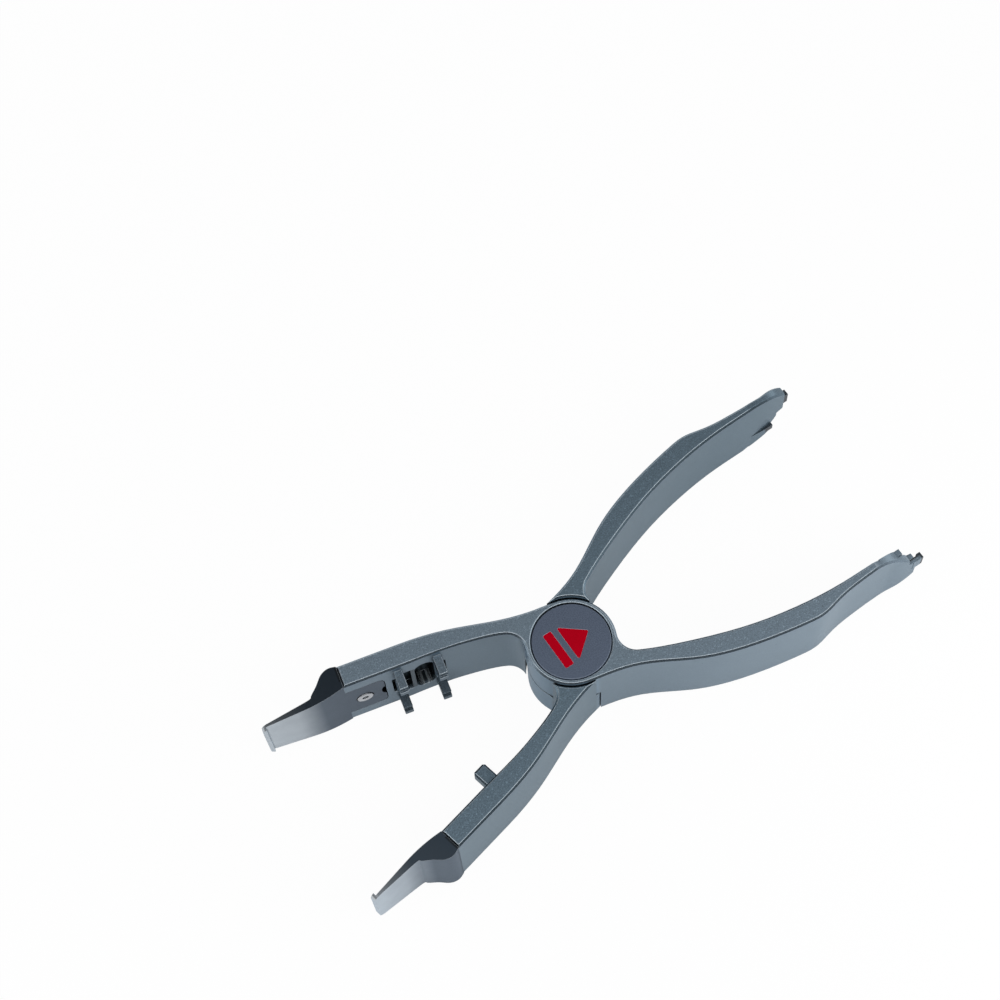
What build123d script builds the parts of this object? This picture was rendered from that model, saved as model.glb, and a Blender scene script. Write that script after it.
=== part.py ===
"""A pair of pull levers on one pivot: keycap claws and a switch opener on the jaws, hooks on the handles.

Frame: the pivot axis is Z, with z = 0 on the face that the tool rests on. -X points along the jaws, +X along
the handles. Lever A has its jaw at +Y and carries the upper half of the hub. Lever B is the same blank turned
over about X, so it carries the lower half. Millimetres.
"""
from build123d import *
import math
import os

# Lever blanks
THICKNESS = 19.0
EDGE_CHAMFER = 0.42
CROTCH_RADIUS = 4.0

# Hub and pivot
MEDALLION_RADIUS = 8.0
MEDALLION_THICK = 1.1
MEDALLION_GAP = 0.15
MEDALLION_DROP = 0.1
MEDALLION_CHAMFER = 0.15
RING_WALL = 0.95
HUB_GAP = 0.35
WASHER_THICK = 0.5
WASHER_MARGIN = 0.4
AXIAL_PLAY = 0.05
PIN_RADIUS = 2.5
RUNNING_FIT = 0.05
THREAD_FIT = 0.02
HEAD_RADIUS = 4.5
HEAD_HEIGHT = 2.2
HEAD_ROOM = 0.25
HEAD_SOCKET = 1.75
NUT_SLOT = 1.0
DRIVE_DEPTH = 1.2

# Opening spring, coiled round the pin inside the hub
SPRING_RADIUS = 5.0
SPRING_WIRE = 1.0
SPRING_PITCH = 1.15
SPRING_TURNS = 4
SPRING_LEG = 2.0
SPRING_LEG_RADIUS = 0.45
SPRING_ROOM = 0.3
LEG_ROOM = 0.15
BOSS_WALL = 1.0
CLOSING_ANGLE = 33.0
STOP_ANGLE = 4.0

# Jaws: a straight bar, set by its seam with the claw and by its slope, then curves that run into the hub. The
# outer curves' last points, on jaws and handles alike, are given by their height over the hub's rim.
SEAM_X = -41.8
SEAM_Y = 19.8
JAW_SLOPE = 12.8
JAW_WIDTH = 4.67
JAW_STRAIGHT = 13.0
JAW_OUTER = ((-18.5, 16.1),)
ROOT_OUTER = ((-8.4, 2.6), (-2.3, 0.7))
JAW_INNER = ((-20.9, 12.75), (-15.0, 10.9), (-9.1, 8.2))
TANGENT_ANGLE = 76.0
JAW_ROOT_ANGLE = 140.0
HANDLE_ROOT_ANGLE = -50.0
ROOT_SHARE = 0.8

# Handles: edges as distance along the tool and distance from its middle plane
HANDLE_OUTER = ((18.7, 17.3), (30.2, 21.4), (41.0, 23.6), (44.4, 23.9))
HANDLE_INNER = ((10.2, 9.0), (19.4, 13.1), (31.0, 17.1), (41.7, 19.4))
BLADE_OUTER = ((48.7, 23.1), (56.0, 22.35), (63.0, 22.35))
BLADE_INNER = ((50.7, 20.35), (60.0, 20.55))
BLADE_END = 69.2
BLADE_END_MIDDLE = 22.35
BLADE_END_WIDTH = 2.1
BLADE_FLARE = 0.08
NOSE_LENGTH = 8.5
NOSE_BELLY = 0.85
PLAIN_NOSE_STAND = 3.3
TOOTH_NOSE_STAND = 1.9
TOOTH_NOSE_SETBACK = 1.8

# Keycap claws, in jaw axes: u runs from the seam to the tip, v towards the middle plane. The waist's points
# are a distance along u and a share of the way in from the shoulder to the neck.
CLAW_LENGTH = 17.8
CLAW_TAPER = 2.8
CLAW_SHOULDER = 0.3
CLAW_SHOULDER_U = 1.7
CLAW_WAIST = ((3.4, 0.15), (5.0, 0.53), (6.6, 0.86))
CLAW_NECK_U = 8.6
CLAW_NECK = 1.45
CLAW_TIP = 0.45
CLAW_REACH = 3.45
CLAW_LIP = 0.65
CLAW_LIP_WIDTH = 0.85
CLAW_CORNER = 1.5
TANG_LENGTH = 8.0
TANG_HEIGHT = 11.6
TANG_THICK = 1.6
TANG_CORNER = 1.5
TANG_ROOM = 0.16
NOTCH_RADIUS = 2.9
NOTCH_DEPTH = 0.85
SCREW_SETBACK = 3.6
SCREW_RADIUS = 1.0
SCREW_HEAD_RADIUS = 1.7
SCREW_LENGTH = 3.8
SCREW_SINK = 0.7
SCREW_STAND = 0.2
SCREW_ROOM = 0.2
SCREW_SOCKET = 0.75
SCREW_SOCKET_DEPTH = 0.5

# Switch opener: four prongs round a window on jaw A, and an anvil on jaw B
OPENER_SETBACK = 15.3
PRONG_PITCH = 8.35
PRONG_WIDTH = 1.8
PRONG_REACH = 3.95
PRONG_HEIGHT = 3.8
PRONG_MARGIN = 1.9
PRONG_CHAMFER = 0.1
GROOVE_DEPTH = 0.5
GROOVE_HEIGHT = 2.1
GROOVE_DROP = 0.35
RELIEF_WIDTH = 0.65
RELIEF_HEIGHT = 7.2
INNER_RELIEF_WIDTH = 1.6
INNER_RELIEF_HEIGHT = 10.3
RELIEF_DEPTH = 2.2
WINDOW_SHIFT = 1.2
WINDOW_WIDTH = 4.1
WINDOW_HEIGHT = 11.8
WINDOW_DEPTH = 3.2
ANVIL_WIDTH = 3.05
ANVIL_HEIGHT = 3.4
ANVIL_REACH = 5.3
ANVIL_CHAMFER = 0.4
CAST_ROOT = 1.0

# Switch hooks at the handle tips: a tongue of the blade carries a steel hook, and a rib ends in a steel tooth
HOOK_LENGTH = 1.7
HOOK_HEIGHT = 3.2
HOOK_THICK = 0.35
HOOK_LIP = 0.3
HOOK_LIP_LENGTH = 0.9
HOOK_ROOT = 2.5
TONGUE_LENGTH = 1.2
TONGUE_THICK = 0.7
TOOTH_LENGTH = 1.9
TOOTH_HEIGHT = 1.6
TOOTH_STAND = 0.7
TOOTH_ROOT = 0.55
TOOTH_SETBACK = 3.1
TOOTH_OFFSET = 5.3
RIB_LENGTH = 3.8

# Red pull mark inlaid in the medallion: a triangle over a bar, pointing at the handles
MARK_WIDTH = 8.2
MARK_HEAD = 5.0
MARK_BAR = 1.9
MARK_GAP = 1.3
MARK_CORNER = 0.3
MARK_DEPTH = 0.2

# Levels, radii and axes that follow from the sizes
MIDDLE = THICKNESS / 2
THROUGH = 2 * THICKNESS
RECESS_RADIUS = MEDALLION_RADIUS + MEDALLION_GAP
RECESS_FLOOR = THICKNESS - MEDALLION_THICK - MEDALLION_DROP
HUB_RADIUS = RECESS_RADIUS + RING_WALL
CUT_RADIUS = HUB_RADIUS + HUB_GAP
HUB_FACE = MIDDLE + WASHER_THICK / 2 + AXIAL_PLAY
SEAT_LEVEL = RECESS_FLOOR - HEAD_HEIGHT - HEAD_ROOM
COIL_HEIGHT = SPRING_PITCH * SPRING_TURNS
CHAMBER_TOP = MIDDLE + COIL_HEIGHT / 2 + SPRING_WIRE / 2 + SPRING_ROOM
CHAMBER_RADIUS = SPRING_RADIUS + SPRING_WIRE / 2 + 2 * SPRING_ROOM
BOSS_RADIUS = PIN_RADIUS + RUNNING_FIT + BOSS_WALL
LEG_END = MIDDLE + COIL_HEIGHT / 2 + SPRING_LEG
HALF_JAW = JAW_WIDTH / 2
SLOPE = math.radians(JAW_SLOPE)
OUTWARD = (-math.cos(SLOPE), math.sin(SLOPE), 0)
INWARD = (-math.sin(SLOPE), -math.cos(SLOPE), 0)
JAW = Plane(origin=(SEAM_X, SEAM_Y, 0), x_dir=OUTWARD, z_dir=(0, 0, 1))
FLIP = Pos(0, 0, THICKNESS) * Rot(180, 0, 0)
UP = (Align.CENTER, Align.CENTER, Align.MIN)
DOWN = (Align.CENTER, Align.CENTER, Align.MAX)
CORNER = (Align.MIN, Align.MIN, Align.MIN)


def jaw_point(u, v):
    """A plan point of lever A, given in jaw axes."""
    point = JAW.from_local_coords(Vector(u, v, 0))
    return (point.X, point.Y)


def inner_face(u):
    """A work plane on jaw A's inner face at mid height: local x is u, local z points out of the lever."""
    return Plane(origin=(*jaw_point(u, HALF_JAW), MIDDLE), x_dir=OUTWARD, z_dir=INWARD)


def hub_point(angle, share=1.0):
    """A plan point on the hub's rim, or at a share of its radius."""
    turn = math.radians(angle)
    return (share * HUB_RADIUS * math.cos(turn), share * HUB_RADIUS * math.sin(turn))


def disc(radius, low, high):
    """An upright cylinder on the pivot axis, between two levels."""
    return Pos(0, 0, low) * Cylinder(radius, high - low, align=UP)


def block(low, high):
    """A block between two corners."""
    return Pos(*low) * Box(*[b - a for a, b in zip(low, high)], align=CORNER)


def jaw_block(u, width, v_low, v_high, z, height):
    """A block in jaw axes, centred on u and z, between two limits of v."""
    low = (u - width / 2, v_low, z - height / 2)
    high = (u + width / 2, v_high, z + height / 2)
    return JAW.location * block(low, high)


def mirrored(points):
    """The same plan points on the other side of the tool's middle plane."""
    return [(x, -y) for x, y in points]


def root_outer():
    """Where jaw A's outer edge runs down to the hub, from the jaw's side."""
    return [(x, HUB_RADIUS + height) for x, height in ROOT_OUTER]


def jaw_plan():
    """Plan of jaw A, from the seam to a root inside the hub."""
    turn = math.radians(TANGENT_ANGLE)
    rim = hub_point(TANGENT_ANGLE)
    root = hub_point(JAW_ROOT_ANGLE, ROOT_SHARE)
    outer_start = jaw_point(-JAW_STRAIGHT, -HALF_JAW)
    inner_start = jaw_point(-JAW_STRAIGHT, HALF_JAW)
    back = (-OUTWARD[0], -OUTWARD[1])
    along_rim = (math.sin(turn), -math.cos(turn))
    return make_face([
        Line(jaw_point(0, -HALF_JAW), outer_start),
        Spline(outer_start, *JAW_OUTER, *root_outer(), rim, tangents=[back, along_rim]),
        Line(rim, (0, 0)),
        Line((0, 0), root),
        Spline(inner_start, *JAW_INNER, root),
        Line(inner_start, jaw_point(0, HALF_JAW)),
        Line(jaw_point(0, HALF_JAW), jaw_point(0, -HALF_JAW)),
    ])


def handle_plan():
    """Plan of handle A: a bar that thins at the knee into a blade."""
    turn = math.radians(TANGENT_ANGLE)
    rim = hub_point(TANGENT_ANGLE - 180)
    root = hub_point(HANDLE_ROOT_ANGLE, ROOT_SHARE)
    tip_outer = (BLADE_END, -BLADE_END_MIDDLE - BLADE_END_WIDTH / 2)
    tip_inner = (BLADE_END, -BLADE_END_MIDDLE + BLADE_END_WIDTH / 2)
    outer = [(-x, -y) for x, y in reversed(root_outer())] + mirrored(HANDLE_OUTER + BLADE_OUTER)
    inner = mirrored(HANDLE_INNER + BLADE_INNER)
    return make_face([
        Spline(rim, *outer, tip_outer, tangents=[(math.sin(turn), -math.cos(turn)), (1, -BLADE_FLARE)]),
        Line(tip_outer, tip_inner),
        Spline(root, *inner, tip_inner),
        Line(root, (0, 0)),
        Line((0, 0), rim),
    ])


def is_crotch(vertex):
    """True for a corner of the plan where an arm's inner edge meets the hub's rim."""
    off_rim = abs(math.hypot(vertex.X, vertex.Y) - HUB_RADIUS)
    return off_rim < 1e-3 and vertex.X * vertex.Y < 0


def nose_side(stand, setback):
    """What is taken off the upper side of handle A's tip: a round, then a square end over the hook."""
    end_x = BLADE_END - setback
    ledge = (end_x, MIDDLE + HOOK_HEIGHT / 2)
    start = (end_x - NOSE_LENGTH, THICKNESS)
    end = (end_x, ledge[1] + stand)
    past = (BLADE_END + NOSE_LENGTH, THROUGH)
    profile = make_face([
        SagittaArc(start, end, NOSE_BELLY),
        Line(end, ledge),
        Line(ledge, (past[0], ledge[1])),
        Line((past[0], ledge[1]), past),
        Line(past, (start[0], past[1])),
        Line((start[0], past[1]), start),
    ])
    return extrude(Plane.XZ * profile, amount=BLADE_END)


def nose_cut():
    """What is taken off handle A's tip, more of it above, where the tooth is, than below."""
    upper = nose_side(TOOTH_NOSE_STAND, TOOTH_NOSE_SETBACK)
    return upper + FLIP * mirror(nose_side(PLAIN_NOSE_STAND, 0), Plane.XZ)


def blade_inner(x):
    """Distance from the middle plane to the blade's inner face, near the tip."""
    start_x, start_y = BLADE_INNER[-1]
    end_y = BLADE_END_MIDDLE - BLADE_END_WIDTH / 2
    return start_y + (end_y - start_y) * (x - start_x) / (BLADE_END - start_x)


def outline_edges(lever):
    """The edges to ease: round the flats and along the nose, but not across it."""
    flats = lever.faces().filter_by(Axis.Z).sort_by(Axis.Z)
    nose_start = BLADE_END - TOOTH_NOSE_SETBACK - NOSE_LENGTH
    rounds = lever.faces().filter_by(GeomType.CYLINDER)
    noses = rounds.filter_by(lambda face: face.center().X > nose_start)

    def is_along(edge):
        reach = abs((edge @ 0).X - (edge @ 1).X)
        return edge.center().X < nose_start - EDGE_CHAMFER or reach > BLADE_END_WIDTH

    edges = flats[0].edges() + flats[-1].edges() + noses.edges()
    return edges.filter_by(is_along)


def tip_block(start, end, outside, inside):
    """A block at handle A's tip, as high as the hook, between two depths from the blade's outer face."""
    outer_face = -BLADE_END_MIDDLE - BLADE_END_WIDTH / 2
    low = (start, outer_face + outside, MIDDLE - HOOK_HEIGHT / 2)
    high = (end, outer_face + inside, MIDDLE + HOOK_HEIGHT / 2)
    return block(low, high)


def tongue():
    """The tongue that the blade ends in, outside the hook."""
    return tip_block(BLADE_END - TONGUE_THICK, BLADE_END + TONGUE_LENGTH, 0, TONGUE_THICK)


def switch_hook():
    """Hook A: a steel plate let into the blade and bent round the tongue's end, with a lip inside."""
    tip = BLADE_END + HOOK_LENGTH
    face = TONGUE_THICK + HOOK_THICK
    plate = tip_block(BLADE_END - HOOK_ROOT, tip, TONGUE_THICK, face)
    cap = tip_block(BLADE_END + TONGUE_LENGTH, tip, 0, face)
    return plate + cap + tip_block(tip - HOOK_LIP_LENGTH, tip, face, face + HOOK_LIP)


def tooth():
    """The small tooth of tip A, near its upper edge."""
    end = BLADE_END - TOOTH_SETBACK
    face = -blade_inner(end - TOOTH_LENGTH / 2)
    level = MIDDLE + TOOTH_OFFSET
    return block(
        (end - TOOTH_LENGTH, face - TOOTH_ROOT, level - TOOTH_HEIGHT / 2),
        (end, face + TOOTH_STAND, level + TOOTH_HEIGHT / 2),
    )


def tooth_rib():
    """The rib on the blade's inner face that rises to the tooth and carries it, up to the flat's chamfer."""
    end = BLADE_END - TOOTH_SETBACK
    top = end - TOOTH_LENGTH
    start = top - RIB_LENGTH
    face = -blade_inner(end - TOOTH_LENGTH / 2)
    low = MIDDLE + TOOTH_OFFSET - TOOTH_HEIGHT / 2
    ramp = Polygon(
        (start, -blade_inner(start)),
        (top, face + TOOTH_STAND),
        (end, face + TOOTH_STAND),
        (end, face - TOOTH_ROOT),
        (start, -blade_inner(start) - TOOTH_ROOT),
        align=None,
    )
    return Pos(0, 0, low) * extrude(ramp, amount=THICKNESS - EDGE_CHAMFER - low, dir=(0, 0, 1))


def tang_profile(room):
    """The tang's outline on the inner face, back from the seam, with rounded far corners."""
    length = TANG_LENGTH + room
    outline = Pos(-length / 2, 0) * Rectangle(length, TANG_HEIGHT + 2 * room)
    far = outline.vertices().sort_by(Axis.X)[:2]
    return fillet(far, TANG_CORNER + room)


def screw_round(radius, depth):
    """A round of the claw screw's axis, sunk into the inner face: a hole or a shank."""
    return inner_face(-SCREW_SETBACK).location * Cylinder(radius, depth, align=DOWN)


def claw_screw():
    """Screw A: a low head with a hexagon socket, and a plain shank for its thread."""
    top = inner_face(-SCREW_SETBACK).offset(SCREW_STAND)
    head = top.location * Cylinder(SCREW_HEAD_RADIUS, SCREW_SINK + SCREW_STAND, align=DOWN)
    head = chamfer(head.edges().group_by(Axis(top.origin, top.z_dir))[-1], SCREW_STAND / 2)
    socket = extrude(top * RegularPolygon(SCREW_SOCKET, 6), amount=-SCREW_SOCKET_DEPTH)
    return head + screw_round(SCREW_RADIUS, SCREW_LENGTH) - socket


def keycap_claw():
    """Claw A: a steel foot that necks to a thin blade with an inward lip, and a tang for its screw."""
    neck = CLAW_REACH - CLAW_NECK
    tip = (CLAW_LENGTH, CLAW_REACH - CLAW_TIP)
    lip_root = (CLAW_LENGTH - CLAW_LIP_WIDTH, CLAW_REACH)
    lip_back = (lip_root[0], CLAW_REACH + CLAW_LIP)
    lip_front = (CLAW_LENGTH, CLAW_REACH + CLAW_LIP)
    shoulder = -HALF_JAW - CLAW_SHOULDER
    outer = Spline(
        (0, -HALF_JAW),
        (CLAW_SHOULDER_U, shoulder),
        *[(u, shoulder + share * (neck - shoulder)) for u, share in CLAW_WAIST],
        (CLAW_NECK_U, neck),
        tangents=[(1, -CLAW_SHOULDER), (CLAW_LENGTH - CLAW_NECK_U, CLAW_NECK - CLAW_TIP)],
    )
    rise = 2 * (CLAW_REACH - HALF_JAW)
    inner = Spline((0, HALF_JAW), (CLAW_NECK_U, CLAW_REACH), tangents=[(CLAW_NECK_U, rise), (1, 0)])
    plan = make_face([
        outer,
        Line((CLAW_NECK_U, neck), tip),
        Line(tip, lip_front),
        Line(lip_front, lip_back),
        Line(lip_back, lip_root),
        Line(lip_root, (CLAW_NECK_U, CLAW_REACH)),
        inner,
        Line((0, HALF_JAW), (0, -HALF_JAW)),
    ])
    half_tip = MIDDLE - CLAW_TAPER
    side = Polygon((0, -MIDDLE), (CLAW_LENGTH, -half_tip), (CLAW_LENGTH, half_tip), (0, MIDDLE), align=None)
    side = fillet(side.vertices().sort_by(Axis.X)[2:], CLAW_CORNER)
    foot = extrude(JAW * plan, amount=THICKNESS)
    foot &= extrude(inner_face(0) * side, amount=THICKNESS, both=True)
    tang = extrude(inner_face(0) * tang_profile(0), amount=-TANG_THICK)
    notch_middle = inner_face(NOTCH_DEPTH - NOTCH_RADIUS - TANG_LENGTH)
    tang -= notch_middle.location * Cylinder(NOTCH_RADIUS, THICKNESS)
    head_seat = screw_round(SCREW_HEAD_RADIUS + SCREW_ROOM, SCREW_SINK)
    return foot + tang - screw_round(SCREW_RADIUS + SCREW_ROOM, THROUGH) - head_seat


def rim_ease(radius, size):
    """The chamfer round a hole's upper edge, on the pivot axis."""
    return Pos(0, 0, THICKNESS - size) * Cone(radius, radius + size, size, align=UP)


def lever_blank():
    """The casting that both levers share: two arms and half of the hub."""
    plan = Circle(HUB_RADIUS) + jaw_plan() + handle_plan()
    plan = fillet(plan.vertices().filter_by(is_crotch), CROTCH_RADIUS)
    lever = extrude(plan, amount=THICKNESS) - nose_cut()
    lever = chamfer(outline_edges(lever), EDGE_CHAMFER)
    lever -= disc(CUT_RADIUS, -THICKNESS, HUB_FACE) + FLIP * rim_ease(CUT_RADIUS, EDGE_CHAMFER)
    lever -= disc(RECESS_RADIUS, RECESS_FLOOR, THROUGH) + rim_ease(RECESS_RADIUS, MEDALLION_CHAMFER)
    lever -= disc(HEAD_RADIUS + HEAD_ROOM, SEAT_LEVEL, THROUGH)
    lever -= disc(CHAMBER_RADIUS, 0, CHAMBER_TOP) - disc(BOSS_RADIUS, 0, CHAMBER_TOP)
    lever -= disc(PIN_RADIUS + RUNNING_FIT, 0, THROUGH)
    lever = lever + (tooth_rib() - nose_cut()) + tongue()
    lever -= extrude(inner_face(0) * tang_profile(TANG_ROOM), amount=-TANG_THICK)
    lever -= screw_round(SCREW_RADIUS + THREAD_FIT, SCREW_LENGTH + SCREW_ROOM)
    return lever - switch_hook() - tooth()


def prong_middle(side):
    """Where a prong stands along the jaw: towards the claw (1) or towards the hub (-1)."""
    return side * PRONG_PITCH / 2 - OPENER_SETBACK


def prong(side, level):
    """One opener prong: a square bar with eased edges and a groove across its end, over a lip."""
    u = prong_middle(side)
    end = HALF_JAW + PRONG_REACH
    bar = jaw_block(u, PRONG_WIDTH, HALF_JAW - CAST_ROOT, end, level, PRONG_HEIGHT)
    bar = chamfer(bar.edges(), PRONG_CHAMFER)
    floor = end - GROOVE_DEPTH
    groove_level = level + PRONG_HEIGHT / 2 - GROOVE_DROP - GROOVE_HEIGHT / 2
    return bar - jaw_block(u, 2 * PRONG_WIDTH, floor, 2 * end, groove_level, GROOVE_HEIGHT)


def relief(u, width, height):
    """A slot sunk in the jaw's inner face, at mid height."""
    return jaw_block(u, width, HALF_JAW - RELIEF_DEPTH, HALF_JAW + RELIEF_DEPTH, MIDDLE, height)


def lever_a(blank):
    """Lever A: the blank with the opener's prongs, window and reliefs, and the spring's upper leg hole."""
    upper = THICKNESS - PRONG_MARGIN - PRONG_HEIGHT / 2
    slot = SlotOverall(WINDOW_HEIGHT, WINDOW_WIDTH)
    window = Pos(-OPENER_SETBACK - WINDOW_SHIFT, 0) * Rot(0, 0, 90) * slot
    lever = blank - extrude(inner_face(0) * window, amount=-WINDOW_DEPTH)
    for side in (-1, 1):
        outer = prong_middle(side) + side * (PRONG_WIDTH + RELIEF_WIDTH) / 2
        lever -= relief(outer, RELIEF_WIDTH, RELIEF_HEIGHT)
    inner = prong_middle(1) - (PRONG_WIDTH + INNER_RELIEF_WIDTH) / 2
    lever -= relief(inner, INNER_RELIEF_WIDTH, INNER_RELIEF_HEIGHT)
    for side in (-1, 1):
        lever += prong(side, upper) + prong(side, THICKNESS - upper)
    leg_hole = Cylinder(SPRING_WIRE / 2 + LEG_ROOM, LEG_END + LEG_ROOM - MIDDLE, align=UP)
    return lever - Pos(SPRING_RADIUS, 0, MIDDLE) * leg_hole


def lever_b(blank):
    """Lever B: the blank with the anvil, turned over, and a slot that the spring's lower leg runs in."""
    end = HALF_JAW + ANVIL_REACH
    anvil = jaw_block(-OPENER_SETBACK, ANVIL_WIDTH, HALF_JAW - CAST_ROOT, end, MIDDLE, ANVIL_HEIGHT)
    anvil = chamfer(anvil.edges(), ANVIL_CHAMFER)
    lever = FLIP * (blank + anvil)
    slot_arc = CenterArc((0, 0), SPRING_RADIUS, -STOP_ANGLE, CLOSING_ANGLE + 2 * STOP_ANGLE)
    slot = SlotArc(slot_arc, SPRING_WIRE + 2 * LEG_ROOM)
    floor = THICKNESS - LEG_END - LEG_ROOM
    return lever - Pos(0, 0, floor) * extrude(slot, amount=MIDDLE - floor)


def return_spring():
    """The torsion spring that opens the levers, with a leg up into lever A and a leg down into lever B."""
    low = MIDDLE - COIL_HEIGHT / 2
    coil_path = Pos(0, 0, low) * Helix(SPRING_PITCH, COIL_HEIGHT, SPRING_RADIUS)
    section = Plane(origin=coil_path @ 0, z_dir=coil_path % 0) * Circle(SPRING_WIRE / 2)
    coil = sweep(section, path=coil_path, is_frenet=True)
    leg = Cylinder(SPRING_LEG_RADIUS, SPRING_LEG, align=UP)
    upper_leg = Pos(SPRING_RADIUS, 0, low + COIL_HEIGHT) * leg
    lower_leg = Pos(SPRING_RADIUS, 0, low) * Rot(180, 0, 0) * leg
    return coil + upper_leg + lower_leg


def thrust_washer():
    """The flat washer that the two hub halves turn on."""
    low = MIDDLE - WASHER_THICK / 2
    high = MIDDLE + WASHER_THICK / 2
    return disc(HUB_RADIUS - WASHER_MARGIN, low, high) - disc(CHAMBER_RADIUS, low, high)


def pivot_bolt():
    """The pivot: a round head with a hexagon socket on lever A's seat, and a shank through both hubs."""
    end = THICKNESS - SEAT_LEVEL - AXIAL_PLAY - HEAD_HEIGHT
    shank = disc(PIN_RADIUS, end, SEAT_LEVEL)
    head = disc(HEAD_RADIUS, SEAT_LEVEL, SEAT_LEVEL + HEAD_HEIGHT)
    top = SEAT_LEVEL + HEAD_HEIGHT
    socket = Pos(0, 0, top - DRIVE_DEPTH) * extrude(RegularPolygon(HEAD_SOCKET, 6), amount=DRIVE_DEPTH)
    return shank + head - socket


def pivot_nut():
    """The slotted round nut in lever B's seat."""
    top = THICKNESS - SEAT_LEVEL - AXIAL_PLAY
    low = top - HEAD_HEIGHT
    ring = disc(HEAD_RADIUS, low, top) - disc(PIN_RADIUS + THREAD_FIT, low, top)
    slot = Pos(0, 0, low) * Box(2 * HEAD_RADIUS, NUT_SLOT, DRIVE_DEPTH, align=UP)
    return ring - slot


def cover_disc(thick):
    """The disc that closes a hub recess, as it lies in lever A."""
    plate = disc(MEDALLION_RADIUS, RECESS_FLOOR, RECESS_FLOOR + thick)
    return chamfer(plate.faces().sort_by(Axis.Z)[-1].edges(), MEDALLION_CHAMFER)


def pull_mark():
    """The red inlay: a triangle that points along +X over a bar."""
    length = MARK_BAR + MARK_GAP + MARK_HEAD
    back = -length / 2
    bar = Pos(back + MARK_BAR / 2, 0) * Rectangle(MARK_BAR, MARK_WIDTH)
    base = back + MARK_BAR + MARK_GAP
    head = Polygon((base, -MARK_WIDTH / 2), (back + length, 0), (base, MARK_WIDTH / 2), align=None)
    mark = fillet((bar + head).vertices(), MARK_CORNER)
    return Pos(0, 0, RECESS_FLOOR + MEDALLION_THICK - MARK_DEPTH) * extrude(mark, amount=MARK_DEPTH)


blank = lever_blank()
claw = keycap_claw()
screw = claw_screw()
hook = switch_hook()
mark = pull_mark()
hook_tooth = tooth()

nodes = {
    "lever_a": lever_a(blank),
    "lever_b": lever_b(blank),
    "medallion": cover_disc(MEDALLION_THICK) - mark,
    "pull_mark": mark,
    "pivot_bolt": pivot_bolt(),
    "pivot_nut": pivot_nut(),
    "thrust_washer": thrust_washer(),
    "return_spring": return_spring(),
    "bottom_cap": FLIP * cover_disc(MEDALLION_THICK + MEDALLION_DROP),
    "keycap_claw_a": claw,
    "keycap_claw_b": FLIP * claw,
    "claw_screw_a": screw,
    "claw_screw_b": FLIP * screw,
    "switch_hook_a": hook,
    "switch_hook_b": FLIP * hook,
    "hook_tooth_a": hook_tooth,
    "hook_tooth_b": FLIP * hook_tooth,
}

os.makedirs("parts", exist_ok=True)
for name, shape in nodes.items():
    export_step(shape, f"parts/{name}.step")
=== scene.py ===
import math

import bpy
import numpy as np
from mathutils import Matrix

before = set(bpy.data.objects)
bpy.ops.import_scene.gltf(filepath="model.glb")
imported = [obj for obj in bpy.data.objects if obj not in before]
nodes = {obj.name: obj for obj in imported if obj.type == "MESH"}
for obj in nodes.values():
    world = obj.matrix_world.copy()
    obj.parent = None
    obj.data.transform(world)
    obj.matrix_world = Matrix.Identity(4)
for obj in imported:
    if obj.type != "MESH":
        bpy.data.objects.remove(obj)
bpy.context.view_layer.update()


# Levers: two aluminium castings of one blank, one turned over, each with half of the hub. They are blasted
# and coated in gunmetal lacquer with metal flake; lever B is painted darker all over as painted shade. The
# flats' edges are rubbed, with a painted highlight along them, the hub's wall is painted lighter as painted
# light, the prongs are darker, and the lower prongs, the opener's recesses, the ledges and the noses carry
# painted shade.
LEVER_A_COLOUR = (0.192, 0.248, 0.298, 1)
# Lever B's colour is painted shade: darker than lever A's so that the whole lever looks shaded
LEVER_B_PAINTED_SHADE_COLOUR = (0.134, 0.187, 0.23, 1)
# The hub's wall is painted lighter: painted light
HUB_PAINTED_LIGHT_COLOUR = (0.235, 0.325, 0.41, 1)
LEVER_EDGE_HIGHLIGHT_COLOUR = (0.6, 0.67, 0.72, 1)
LEVER_TINT = (0.9, 0.97, 1.0, 1)
# Dust specks, and the painted shade in gaps, recesses and under the prongs, take this dark colour
DUST_AND_SHADE_COLOUR = (0.012, 0.015, 0.018, 1)
LEVER_METAL = 0.85

# The lacquer: its grain, flake and specks of dust, and how much of the grain shows on the walls
GRAIN_SIZE = 0.00024
GRAIN_DEPTH = 0.000022
GRAIN_RANGE = (0.3, 0.7)
FLAKE_SIZE = 0.00021
FLAKE_RANGE = (0.88, 1.0)
SHADE_BASE = 0.76
SHADE_GRAIN = 0.4
SHADE_FLAKE = 0.5
WALL_SHADE = 0.2
WALL_RELIEF = 0.15
SPECK_SIZE = 0.0035
SPECK_RADIUS = 0.00012
SPECK_DARK = 0.6
CLOUD_SIZE = 0.012
LEVER_ROUGH = 0.3
ROUGH_STEP = 0.1
ROUGH_CLOUD = 0.06

# How far faces point up or down, where a slope begins and where it is in full
FLAT_SLOPE = (0.9, 0.97)
CHAMFER_SLOPE = (0.3, 0.4)
NOSE_SLOPE = (0.15, 0.35)
WALL_SLOPE = 0.1

# Rubbed edges with a painted highlight along them, and painted shade in gaps
EDGE_ROUND = 0.00018
EDGE_TURN = (0.74, 0.8)
FLAT_TURN = (0.995, 0.97)
EDGE_RUB_HIGHLIGHT = 0.66
EDGE_RANGE = (1.0, 0.93)
OPEN_RANGE = (0.25, 0.8)
CREVICE_SIZE = 0.0010
CREVICE_DARK = 0.85
RAY_SAMPLES = 8
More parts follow.
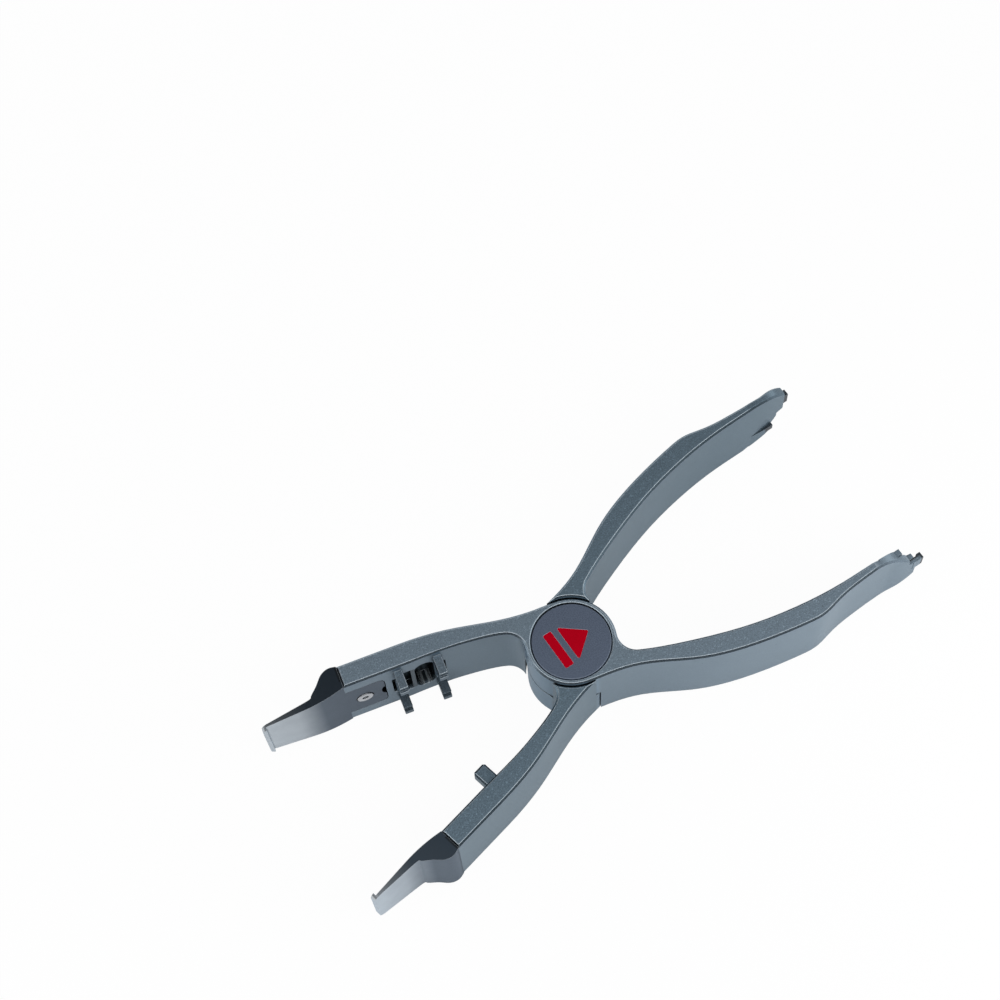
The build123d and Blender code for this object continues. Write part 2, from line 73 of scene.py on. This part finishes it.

# Where the painted shade, the darker prongs and the hub wall's painted light lie: along the jaw from the
# claw's seam, inward from the jaw's middle line, up or down from the middle level, along the handle, or out
# from the pivot
JAW_SLOPE = math.radians(12.8)
SEAM_PLACE = (-0.0418, 0.0198)
MIDDLE_LEVEL = 0.0095
JAW_FACE = 0.00233
OPENER_SPAN = (-0.023, -0.0086)
PRONG_FADE = 0.0004
PRONG_LEVEL = 0.0075
POCKET_DEPTH = (0.0003, 0.0012)
POCKET_BACK = -0.0012
POCKET_HALF = 0.0062
WEB_SPAN = (-0.01450, -0.01358)
WEB_HALF = 0.005
LEDGE_START = 0.05
LEDGE_SPAN = (0.0043, 0.0047)
NOSE_SPAN = (0.0580, 0.0600)
HUB_REACH = (0.0091, 0.0095)

# How far each place goes towards the dark colour: the prongs plainly darker, and painted shade on the lower
# prongs, in the opener's pocket and on its web, on the ledges and on the noses
PRONG_DARK = 0.3
LOW_PRONG_PAINTED_SHADE = 0.4
POCKET_PAINTED_SHADE = 0.92
WEB_PAINTED_SHADE = 0.68
LEDGE_PAINTED_SHADE = 0.7
NOSE_PAINTED_SHADE = 0.15


class Socket:
    """An output of a node. Operators on it, and on a plain number beside it, add Math nodes."""

    def __init__(self, tree, link):
        self.tree = tree
        self.link = link

    def math(self, operation, *values):
        """A Math node on this output and others."""
        return self.tree.node("ShaderNodeMath", {"operation": operation}, dict(enumerate(values)))

    def __add__(self, other):
        return self.math("ADD", self, other)

    def __sub__(self, other):
        return self.math("SUBTRACT", self, other)

    def __rsub__(self, other):
        return self.math("SUBTRACT", other, self)

    def __mul__(self, other):
        return self.math("MULTIPLY", self, other)

    def __lt__(self, other):
        return self.math("LESS_THAN", self, other)

    def __gt__(self, other):
        return self.math("GREATER_THAN", self, other)

    def __abs__(self):
        return self.math("ABSOLUTE", self)

    __radd__ = __add__
    __rmul__ = __mul__


class Nodes:
    """A node tree being filled."""

    def __init__(self, tree):
        self.tree = tree
        tree.nodes.clear()

    def node(self, kind, settings, sockets, output=0):
        """Add one node: its type, the settings that come first, its sockets' values or links, an output."""
        made = self.tree.nodes.new(kind)
        for name, value in settings.items():
            if name == "stops":
                self.stops(made.color_ramp.elements, value)
            else:
                setattr(made, name, value)
        for name, value in sockets.items():
            if isinstance(value, Socket):
                self.tree.links.new(value.link, made.inputs[name])
            else:
                made.inputs[name].default_value = value
        return Socket(self, made.outputs[output]) if made.outputs else None

    def stops(self, elements, stops):
        """Set a colour ramp's stops: a place from 0 to 1 and a colour each."""
        while len(elements) < len(stops):
            elements.new(1)
        for element, (place, colour) in zip(elements, stops):
            element.position = place
            element.color = colour

    def ramp(self, value, *stops):
        """A colour by a value from 0 to 1."""
        return self.node("ShaderNodeValToRGB", {"stops": stops}, {"Fac": value})

    def place(self):
        """Where a point is on the object, in metres."""
        return self.node("ShaderNodeTexCoord", {}, {}, "Object")

    def part(self, vector, axis):
        """One part, X, Y or Z, of a vector."""
        return self.node("ShaderNodeSeparateXYZ", {}, {0: vector}, axis)

    def dot(self, first, second):
        """The dot product of two vectors."""
        return self.node("ShaderNodeVectorMath", {"operation": "DOT_PRODUCT"}, {0: first, 1: second}, "Value")

    def range(self, value, low, high):
        """A value taken smoothly to 0 at one limit and 1 at the other, and held beyond them."""
        settings = {"interpolation_type": "SMOOTHSTEP"}
        return self.node("ShaderNodeMapRange", settings, {"Value": value, "From Min": low, "From Max": high})

    def between(self, value, low, high):
        """1 where a value lies between two limits."""
        return (value > low) * (value < high)

    def mix(self, factor, first, second):
        """Two colours mixed by a factor."""
        return self.node("ShaderNodeMix", {"data_type": "RGBA"}, {0: factor, 6: first, 7: second}, 2)

    def mix_vector(self, factor, first, second):
        """Two vectors mixed by a factor."""
        return self.node("ShaderNodeMix", {"data_type": "VECTOR"}, {0: factor, 4: first, 5: second}, 1)

    def shaded(self, colour, shade):
        """A colour times a number."""
        scaled = {"operation": "SCALE"}
        return self.node("ShaderNodeVectorMath", scaled, {"Vector": colour, "Scale": shade}, "Vector")

    def noise(self, place, size, detail=2.0):
        """Soft noise from 0 to 1 with features of a size in metres."""
        return self.node("ShaderNodeTexNoise", {}, {"Vector": place, "Scale": 1 / size, "Detail": detail})

    def cells(self, place, size, output):
        """Scattered cells of a size in metres: their Distance from the middle or their random Color."""
        return self.node("ShaderNodeTexVoronoi", {}, {"Vector": place, "Scale": 1 / size}, output)

    def geometry(self, output):
        """A face's own True Normal, or its shaded Normal."""
        return self.node("ShaderNodeNewGeometry", {}, {}, output)

    def steepness(self):
        """How far a face points up or down: 1 on the flats, 0 on upright walls."""
        return abs(self.part(self.geometry("True Normal"), "Z"))

    def rounded(self, radius):
        """Normals that turn round the edges within a radius."""
        return self.node("ShaderNodeBevel", {"samples": RAY_SAMPLES}, {"Radius": radius})

    def eased(self, radius):
        """Normals that turn round the edges within a radius, and a mask of those edges."""
        normal = self.rounded(radius)
        return normal, self.range(self.dot(normal, self.geometry("Normal")), *EDGE_RANGE)

    def gap_shaded(self, colour, size, dark):
        """Painted shade: a colour that goes dark, by a share, in gaps and corners of a size in metres."""
        settings = {"samples": RAY_SAMPLES}
        seen = self.node("ShaderNodeAmbientOcclusion", settings, {"Distance": size}, "AO")
        return self.mix(dark - dark * self.range(seen, *OPEN_RANGE), colour, DUST_AND_SHADE_COLOUR)

    def bump(self, height, depth, normal):
        """Normals with a relief added, whose full height is a depth in metres."""
        return self.node("ShaderNodeBump", {}, {"Height": height, "Distance": depth, "Normal": normal})

    def jaw_axes(self, place):
        """Distance out from the claw's seam along the jaw, and in from its middle line, on either lever."""
        x = self.part(place, "X") - SEAM_PLACE[0]
        y = abs(self.part(place, "Y")) - SEAM_PLACE[1]
        along = y * math.sin(JAW_SLOPE) - x * math.cos(JAW_SLOPE)
        inward = 0.0 - y * math.cos(JAW_SLOPE) - x * math.sin(JAW_SLOPE)
        return along, inward

    def finish(self, **sockets):
        """Close the tree with a Principled shader, its sockets named with low lines for spaces."""
        named = {name.replace("_", " "): value for name, value in sockets.items()}
        self.close(self.node("ShaderNodeBsdfPrincipled", {}, named))

    def close(self, shader, kind="ShaderNodeOutputMaterial"):
        """Close the tree with a shader."""
        self.node(kind, {}, {"Surface": shader})


def material(name):
    """A new, empty node material and the tree to fill."""
    made = bpy.data.materials.new(name)
    made.use_nodes = True
    return made, Nodes(made.node_tree)


def dress(finish, *names):
    """Give CAD nodes a finish through their material slots."""
    for name in names:
        for slot in nodes[name].material_slots:
            slot.material = finish


def lever_coat(name, lacquer):
    """Flake lacquer of a colour: grainy flats, smooth walls, rubbed edges, dull places and dark gaps."""
    finish, n = material(name)
    place = n.place()
    x, y, z = [n.part(place, axis) for axis in "XYZ"]
    steep = n.steepness()
    flat = n.range(steep, *FLAT_SLOPE)
    chamfer = n.range(steep, *CHAMFER_SLOPE) - flat

    grain = n.noise(place, GRAIN_SIZE)
    flake = n.part(n.cells(place, FLAKE_SIZE, "Color"), "X")
    shade = SHADE_BASE + SHADE_GRAIN * n.range(grain, *GRAIN_RANGE)
    shade = shade + SHADE_FLAKE * n.range(flake, *FLAKE_RANGE)
    colour = n.mix(WALL_SHADE + (1 - WALL_SHADE) * flat, lacquer, n.shaded(lacquer[:3], shade))
    # Painted light: the hub's upright wall is made lighter, fading out with the distance from the pivot
    hub_wall_painted_light = n.range(x * x + y * y, HUB_REACH[1] ** 2, HUB_REACH[0] ** 2) * (steep < WALL_SLOPE)
    colour = n.mix(hub_wall_painted_light, colour, HUB_PAINTED_LIGHT_COLOUR)
    speck = n.cells(place, SPECK_SIZE, "Distance") < SPECK_RADIUS / SPECK_SIZE
    colour = n.mix(SPECK_DARK * speck, colour, DUST_AND_SHADE_COLOUR)

    along, inward = n.jaw_axes(place)
    off_middle = abs(z - MIDDLE_LEVEL)
    on_jaw_a = (x < 0) * (y > 0)
    # The prongs are darker. Painted shade: on the lower prongs under the upper ones, in the opener's pocket
    # and on its web, on the ledges and on the noses
    prongs = on_jaw_a * n.range(inward, JAW_FACE, JAW_FACE + PRONG_FADE) * (along > OPENER_SPAN[0])
    low_prongs = prongs * (z < PRONG_LEVEL)
    sunk = n.range(inward, JAW_FACE - POCKET_DEPTH[0], JAW_FACE - POCKET_DEPTH[1]) * (inward > POCKET_BACK)
    pocket = on_jaw_a * sunk * n.between(along, *OPENER_SPAN) * (off_middle < POCKET_HALF)
    web = on_jaw_a * n.between(along, *WEB_SPAN) * (off_middle < WEB_HALF) * (inward > 0)
    ledge = flat * (x > LEDGE_START) * n.between(off_middle, *LEDGE_SPAN)
    nose = n.range(x, *NOSE_SPAN) * n.range(steep, *NOSE_SLOPE)
    masks = (prongs, low_prongs, pocket, web, ledge, nose)
    shares = (PRONG_DARK, LOW_PRONG_PAINTED_SHADE, POCKET_PAINTED_SHADE, WEB_PAINTED_SHADE, LEDGE_PAINTED_SHADE, NOSE_PAINTED_SHADE)
    bright = 1.0
    for mask, share in zip(masks, shares):
        bright = bright * (1.0 - share * mask)
    # The darkening: painted shade, apart from the prongs' own darker tone
    colour = n.mix(1.0 - bright, colour, DUST_AND_SHADE_COLOUR)

    rounded = n.rounded(EDGE_ROUND)
    turn = abs(n.part(rounded, "Z"))
    at_edge = n.range(turn, *EDGE_TURN)
    # The flats' rubbed edges, brightened as a painted highlight
    rubbed_highlight = at_edge * n.range(turn, *FLAT_TURN) * (1.0 - nose) * (1.0 - low_prongs)
    colour = n.mix(EDGE_RUB_HIGHLIGHT * rubbed_highlight, colour, LEVER_EDGE_HIGHLIGHT_COLOUR)
    # Painted shade in the lacquer's gaps and corners
    colour = n.gap_shaded(colour, CREVICE_SIZE, CREVICE_DARK)

    normal = n.mix_vector(at_edge, n.geometry("Normal"), rounded)
    relief = n.bump(grain * (WALL_RELIEF + (1 - WALL_RELIEF) * flat), GRAIN_DEPTH, normal)
    rough = LEVER_ROUGH + ROUGH_STEP * (flat - chamfer) + ROUGH_CLOUD * n.noise(place, CLOUD_SIZE)
    n.finish(Base_Color=colour, Metallic=LEVER_METAL, Roughness=rough,
             Specular_Tint=LEVER_TINT, Normal=relief)
    return finish


dress(lever_coat("gunmetal_lacquer_a", LEVER_A_COLOUR), "lever_a")
# Lever B takes the darker colour, painted shade over the whole lever
dress(lever_coat("gunmetal_lacquer_b_painted_shade", LEVER_B_PAINTED_SHADE_COLOUR), "lever_b")


# Pivot: a turned bolt and a slotted nut that hold the hub halves together, and the torsion spring of music
# wire that opens them. All three are plain steel under a film of oil, hidden by the covers.
PIVOT_COLOUR = (0.4, 0.41, 0.42, 1)
PIVOT_ROUGH = 0.25
RING_SCALE = 900.0
RING_WAVER = 1.5
RING_DETAIL = 2.0
RING_DEPTH = 0.000004
FILM_SIZE = 0.004
FILM_SHARE = 0.35
FILM_TONE = 0.55
FILM_ROUGH = 0.12
STEEL_ROUND = 0.0001
# Painted shade in the steel's gaps and corners: how far it reaches and how dark it goes
STEEL_GAP = 0.0006
STEEL_DARK = 0.8


def turned_metal(name, colour, rough):
    """Steel or bronze off the lathe, with fine turned rings round the pivot axis and painted shade in its
    corners.
    """
    finish, n = material(name)
    place = n.place()
    ring = n.node("ShaderNodeTexWave", {"wave_type": "RINGS", "rings_direction": "Z"},
                  {"Vector": place, "Scale": RING_SCALE, "Distortion": RING_WAVER, "Detail": RING_DETAIL})
    film = n.noise(place, FILM_SIZE)
    tint = n.mix(FILM_SHARE * film, colour, tuple(FILM_TONE * c for c in colour[:3]) + (1,))
    # Painted shade in gaps and corners
    tint = n.gap_shaded(tint, STEEL_GAP, STEEL_DARK)
    relief = n.bump(ring, RING_DEPTH, n.rounded(STEEL_ROUND))
    n.finish(Base_Color=tint, Metallic=1.0, Roughness=rough + FILM_ROUGH * film, Normal=relief)
    return finish


dress(turned_metal("oiled_steel", PIVOT_COLOUR, PIVOT_ROUGH), "pivot_bolt", "pivot_nut", "return_spring")


# Thrust washer: a flat ring of plain bronze, punched from strip and lapped. It lies loose between the hub
# halves, which turn on it, and only its edge shows in the slit between them.
BRONZE_COLOUR = (0.45, 0.3, 0.12, 1)
BRONZE_ROUGH = 0.3

dress(turned_metal("plain_bronze", BRONZE_COLOUR, BRONZE_ROUGH), "thrust_washer")


# Covers: the medallion over the bolt's head and the cap over the nut, punched from aluminium sheet and
# anodised in a satin blue-grey. They are pressed into the hub's recesses.
COVER_DARK = (0.115, 0.145, 0.2, 1)
COVER_LIGHT = (0.165, 0.2, 0.27, 1)
COVER_RIM_HIGHLIGHT_COLOUR = (0.45, 0.5, 0.56, 1)
COVER_RIM_HIGHLIGHT_SHARE = 0.7
COVER_ROUND = 0.0001
COVER_GRAIN_SIZE = 0.00022
COVER_GRAIN_DEPTH = 0.000006
COVER_CLOUD_SIZE = 0.006
COVER_ROUGH = 0.36
COVER_ROUGH_CLOUD = 0.08


def cover_anodising():
    """Satin anodising with a very fine grain and a painted highlight on its rim."""
    finish, n = material("satin_blue_grey")
    place = n.place()
    grain = n.noise(place, COVER_GRAIN_SIZE)
    colour = n.mix(n.range(grain, *GRAIN_RANGE), COVER_DARK, COVER_LIGHT)
    normal, edge = n.eased(COVER_ROUND)
    # Painted highlight on the rim
    colour = n.mix(COVER_RIM_HIGHLIGHT_SHARE * edge, colour, COVER_RIM_HIGHLIGHT_COLOUR)
    relief = n.bump(grain, COVER_GRAIN_DEPTH, normal)
    rough = COVER_ROUGH + COVER_ROUGH_CLOUD * n.noise(place, COVER_CLOUD_SIZE)
    n.finish(Base_Color=colour, Metallic=1.0, Roughness=rough, Specular_Tint=LEVER_TINT, Normal=relief)
    return finish


dress(cover_anodising(), "medallion", "bottom_cap")


# Pull mark: a plain triangle over a bar, milled into the medallion and filled flush with red enamel. The
# enamel is stoved and stays satin, a little deeper in patches.
ENAMEL_DEEP = (0.32, 0.0, 0.006, 1)
ENAMEL_LIGHT = (0.4, 0.0, 0.010, 1)
ENAMEL_PATCH_SIZE = 0.003
ENAMEL_FINE_SIZE = 0.0002
ENAMEL_FINE_DEPTH = 0.000003
ENAMEL_ROUND = 0.00008
ENAMEL_ROUGH = 0.5
ENAMEL_ROUGH_FINE = 0.1
ENAMEL_GLOSS = 0.02


def red_enamel():
    """Satin enamel, a little deeper in patches."""
    finish, n = material("red_enamel_fill")
    place = n.place()
    fine = n.noise(place, ENAMEL_FINE_SIZE)
    colour = n.mix(n.noise(place, ENAMEL_PATCH_SIZE), ENAMEL_DEEP, ENAMEL_LIGHT)
    relief = n.bump(fine, ENAMEL_FINE_DEPTH, n.rounded(ENAMEL_ROUND))
    rough = ENAMEL_ROUGH + ENAMEL_ROUGH_FINE * fine
    n.finish(Base_Color=colour, Roughness=rough, Specular_IOR_Level=ENAMEL_GLOSS, Normal=relief)
    return finish


dress(red_enamel(), "pull_mark")


# Keycap claws: feet of spring steel at the jaw ends, formed, hardened and ground. The blade runs from dark at
# the foot to bright towards its tip, partly its ground finish and partly a painted reflection; its outer side
# is painted darker as painted shade, and the upper and lower edges stay nearly black. The tang lies in the
# jaw's pocket under its screw.
CLAW_LENGTH = 0.0178
CLAW_SIDE = (
    (0.0, (0.118, 0.131, 0.150, 1)),
    (0.28, (0.128, 0.143, 0.163, 1)),
    (0.58, (0.57, 0.595, 0.605, 1)),
    (1.0, (0.7, 0.735, 0.745, 1)),
)
CLAW_UPPER = (
    (0.0, (0.032, 0.045, 0.06, 1)),
    (0.45, (0.04, 0.053, 0.068, 1)),
    (0.75, (0.12, 0.135, 0.15, 1)),
    (1.0, (0.24, 0.26, 0.28, 1)),
)
CLAW_UPPER_SLOPE = (0.6, 0.8)
CLAW_TINT = (0.8, 0.9, 1.0, 1)
CLAW_EDGE_COLOUR = (0.6, 0.65, 0.7, 1)
CLAW_EDGE_SHARE = 0.45
CLAW_STAIN_COLOUR = (0.05, 0.055, 0.06, 1)
CLAW_STAIN_SHARE = 0.25
CLAW_STAIN_SIZE = 0.004
OUTER_FADE = 0.0005
OUTER_PAINTED_SHADE = 0.19
OUTER_PAINTED_SHADE_TIP = 0.11
SEAM_WIDTH = (0.00055, 0.0003)
SEAM_INNER = 0.001
SEAM_DARK = 0.85
BRUSH_STRETCH = (1.0, 1.0, 12.0)
BRUSH_SIZE = 0.0012
BRUSH_DETAIL = 4.0
BRUSH_DEPTH = 0.000006
CLAW_ROUGH = 0.3
CLAW_ROUGH_BRUSH = 0.12


def claw_steel():
    """Hardened steel, dark at the foot and bright at the tip by the distance from the seam, partly ground
    finish and partly painted reflection, with painted shade on the outer side.
    """
    finish, n = material("hardened_ground_steel")
    place = n.place()
    along, inward = n.jaw_axes(place)
    to_tip = along * (1 / CLAW_LENGTH)
    outer = n.range(inward, OUTER_FADE, -OUTER_FADE)
    # Dark at the foot to bright at the tip, partly finish and partly painted reflection; the outer side
    # carries painted shade
    side = n.shaded(n.ramp(to_tip, *CLAW_SIDE), 1.0 - outer * (OUTER_PAINTED_SHADE + OUTER_PAINTED_SHADE_TIP * to_tip))
    colour = n.mix(n.range(n.steepness(), *CLAW_UPPER_SLOPE), side, n.ramp(to_tip, *CLAW_UPPER))
    seam = n.range(abs(along), *SEAM_WIDTH) * (inward < SEAM_INNER)
    colour = n.mix(SEAM_DARK * seam, colour, DUST_AND_SHADE_COLOUR)
    colour = n.mix(CLAW_STAIN_SHARE * n.noise(place, CLAW_STAIN_SIZE), colour, CLAW_STAIN_COLOUR)
    normal, edge = n.eased(STEEL_ROUND)
    colour = n.mix(CLAW_EDGE_SHARE * edge, colour, CLAW_EDGE_COLOUR)
    # Painted shade in gaps and corners
    colour = n.gap_shaded(colour, STEEL_GAP, STEEL_DARK)
    stretched = n.node("ShaderNodeMapping", {}, {"Vector": place, "Scale": BRUSH_STRETCH})
    brushed = n.noise(stretched, BRUSH_SIZE, BRUSH_DETAIL)
    relief = n.bump(brushed, BRUSH_DEPTH, normal)
    rough = CLAW_ROUGH + CLAW_ROUGH_BRUSH * brushed
    n.finish(Base_Color=colour, Metallic=1.0, Roughness=rough, Specular_Tint=CLAW_TINT, Normal=relief)
    return finish


dress(claw_steel(), "keycap_claw_a", "keycap_claw_b")


# Claw screws: low-headed steel screws with a hexagon socket, turned bright from bar. One goes through each
# tang into the jaw, its head sunk in the tang.
SCREW_COLOUR = (0.62, 0.64, 0.66, 1)
SCREW_ROUGH = 0.2

dress(turned_metal("bright_steel", SCREW_COLOUR, SCREW_ROUGH), "claw_screw_a", "claw_screw_b")


# Switch hooks and teeth: small blocks of blackened tool steel, let into the handle ends and cemented there.
# They catch a switch's clips, so the oxide is rubbed grey along their edges. The teeth's outer ends are
# coated over with the lever's lacquer.
HOOK_DARK = (0.03, 0.038, 0.046, 1)
HOOK_LIGHT = (0.07, 0.082, 0.095, 1)
HOOK_EDGE_COLOUR = (0.3, 0.33, 0.36, 1)
HOOK_EDGE_SHARE = 0.5
HOOK_ROUND = 0.00012
HOOK_GRAIN_SIZE = 0.0004
HOOK_GRAIN_DEPTH = 0.00001
HOOK_METAL = 0.9
HOOK_ROUGH = 0.32
HOOK_ROUGH_GRAIN = 0.12
TOOTH_END = 0.0060
TOOTH_COAT = 0.9


def blackened_steel():
    """Black oxide with its edges rubbed grey, under lacquer on the teeth's outer ends."""
    finish, n = material("black_oxide_steel")
    place = n.place()
    grain = n.noise(place, HOOK_GRAIN_SIZE)
    colour = n.mix(grain, HOOK_DARK, HOOK_LIGHT)
    normal, edge = n.eased(HOOK_ROUND)
    colour = n.mix(HOOK_EDGE_SHARE * edge, colour, HOOK_EDGE_COLOUR)
    coated = abs(n.part(place, "Z") - MIDDLE_LEVEL) > TOOTH_END
    colour = n.mix(TOOTH_COAT * coated, colour, LEVER_A_COLOUR)
    relief = n.bump(grain, HOOK_GRAIN_DEPTH, normal)
    rough = HOOK_ROUGH + HOOK_ROUGH_GRAIN * grain
    n.finish(Base_Color=colour, Metallic=HOOK_METAL, Roughness=rough, Normal=relief)
    return finish


dress(blackened_steel(), "switch_hook_a", "switch_hook_b", "hook_tooth_a", "hook_tooth_b")


# Table: a plain white sheet that the tool lies on. Seen directly it is white with a faint shadow, and in the
# metal it is partly white and partly as bright as the light that falls on it.
TABLE_HALF = 2.0
TABLE_DROP = 0.00002
PAPER_COLOUR = (0.73, 0.73, 0.75, 1)
PLAIN_WHITE = (1, 1, 1, 1)
SEEN_WHITE = 0.965
MIRRORED_WHITE = 0.2


def ray(n, kind):
    """1 on rays of a kind: Camera, Glossy or Transmission."""
    return n.node("ShaderNodeLightPath", {}, {}, f"Is {kind} Ray")


table_mesh = bpy.data.meshes.new("table")
corners = np.array([(-1, -1), (1, -1), (1, 1), (-1, 1)]) * TABLE_HALF
table_mesh.from_pydata([(x, y, -TABLE_DROP) for x, y in corners], [], [(0, 1, 2, 3)])
table = bpy.data.objects.new("table", table_mesh)
bpy.context.scene.collection.objects.link(table)
table_finish, n = material("white_table")
paper = n.node("ShaderNodeBsdfDiffuse", {}, {"Color": PAPER_COLOUR})
white = n.node("ShaderNodeEmission", {}, {"Color": PLAIN_WHITE, "Strength": 1.0})
whiteness = SEEN_WHITE * ray(n, "Camera") + MIRRORED_WHITE * (ray(n, "Glossy") + ray(n, "Transmission"))
n.close(n.node("ShaderNodeMixShader", {}, {0: whiteness, 1: paper, 2: white}))
table_mesh.materials.append(table_finish)


# Light: a studio dome and two small lamps. The dome is bright overhead and along the far horizon, grey and
# falling off on the far side, which the flats show, and dark low on the camera's side, which the chamfers
# show. The lamps lift the walls, unseen in the metal, and to the camera itself the sky is white.
CAMERA_SIDE = (-0.483, -0.876, 0.0)
DOME_WHITE = (1.6, 1.6, 1.6, 1)
DOME_DARK = (0.05, 0.05, 0.055, 1)
DOME_GREY = (1.0, 1.02, 1.04, 1)
DOME_FAR = (0.03, 0.031, 0.033, 1)
OVERHEAD_TILT = math.tan(math.radians(2))
OVERHEAD_FADE = (-0.08, 0.16)
LOW_TILT = math.tan(math.radians(50))
LOW_FADE = (-0.14, 0.16)
FAR_FADE = (-0.05, 0.58)
HORIZON_FADE = (0.45, 0.15)
HORIZON_SIDE = (0.1, -0.2)
LAMPS = {"handle_lamp": ((0.1, -0.12, 0.06), 0.12), "jaw_lamp": ((-0.13, -0.03, 0.06), 0.025)}
LAMP_SIZE = 0.12

world = bpy.data.worlds.new("studio")
bpy.context.scene.world = world
world.use_nodes = True
n = Nodes(world.node_tree)
direction = n.node("ShaderNodeTexCoord", {}, {}, "Generated")
up = n.part(direction, "Z")
near = n.dot(direction, CAMERA_SIDE)
overhead = n.range(near + OVERHEAD_TILT * up, *OVERHEAD_FADE)
low = n.range(near - LOW_TILT * up, *LOW_FADE)
far_side = n.range(n.part(direction, "Y"), *FAR_FADE)
horizon = n.range(up, *HORIZON_FADE) * n.range(near, *HORIZON_SIDE)
dome = n.mix(overhead, n.mix(far_side, DOME_GREY, DOME_FAR), DOME_WHITE)
dome = n.mix(low, dome, DOME_DARK)
dome = n.mix(horizon, dome, DOME_WHITE)
dome = n.mix(ray(n, "Camera"), dome, PLAIN_WHITE)
background = n.node("ShaderNodeBackground", {}, {"Color": dome, "Strength": 1.0})
n.close(background, "ShaderNodeOutputWorld")


def aim(thing, place, axes):
    """Put a lamp or camera at a place, with its axes as the columns of a matrix."""
    thing.matrix_world = Matrix.Translation(place) @ Matrix(axes.tolist()).to_4x4()


def facing(back):
    """Right, up and back of a lamp or camera that looks along minus back, held level."""
    right = np.cross((0, 0, 1), back)
    right = right / np.linalg.norm(right)
    return np.stack((right, np.cross(back, right), back), axis=1)


for name, (place, power) in LAMPS.items():
    lamp_data = bpy.data.lights.new(name, "AREA")
    lamp_data.energy = power
    lamp_data.size = LAMP_SIZE
    lamp = bpy.data.objects.new(name, lamp_data)
    lamp.visible_glossy = False
    bpy.context.scene.collection.objects.link(lamp)
    aim(lamp, place, facing(place / np.linalg.norm(place)))


# Camera: the place and turn from which the photograph was taken, worked out from the levers' mirror symmetry
# and the outline of the tool.
CAMERA_PLACE = (-0.0793, -0.1202, 0.4060)
CAMERA_TURN = math.radians(-28.89)
CAMERA_HEIGHT = math.radians(65.61)
CAMERA_ROLL = math.radians(5.51)
CAMERA_LENS = 75.077
CAMERA_SENSOR = 36
CAMERA_NEAR = 0.01

level = math.cos(CAMERA_HEIGHT)
back = np.array((level * math.sin(CAMERA_TURN), -level * math.cos(CAMERA_TURN), math.sin(CAMERA_HEIGHT)))
roll = np.array(Matrix.Rotation(-CAMERA_ROLL, 3, "Z"))
camera_data = bpy.data.cameras.new("camera")
camera_data.lens = CAMERA_LENS
camera_data.sensor_width = CAMERA_SENSOR
camera_data.clip_start = CAMERA_NEAR
camera = bpy.data.objects.new("camera", camera_data)
bpy.context.scene.collection.objects.link(camera)
aim(camera, CAMERA_PLACE, facing(back) @ roll)
bpy.context.scene.camera = camera
bpy.context.scene.view_settings.view_transform = "Standard"
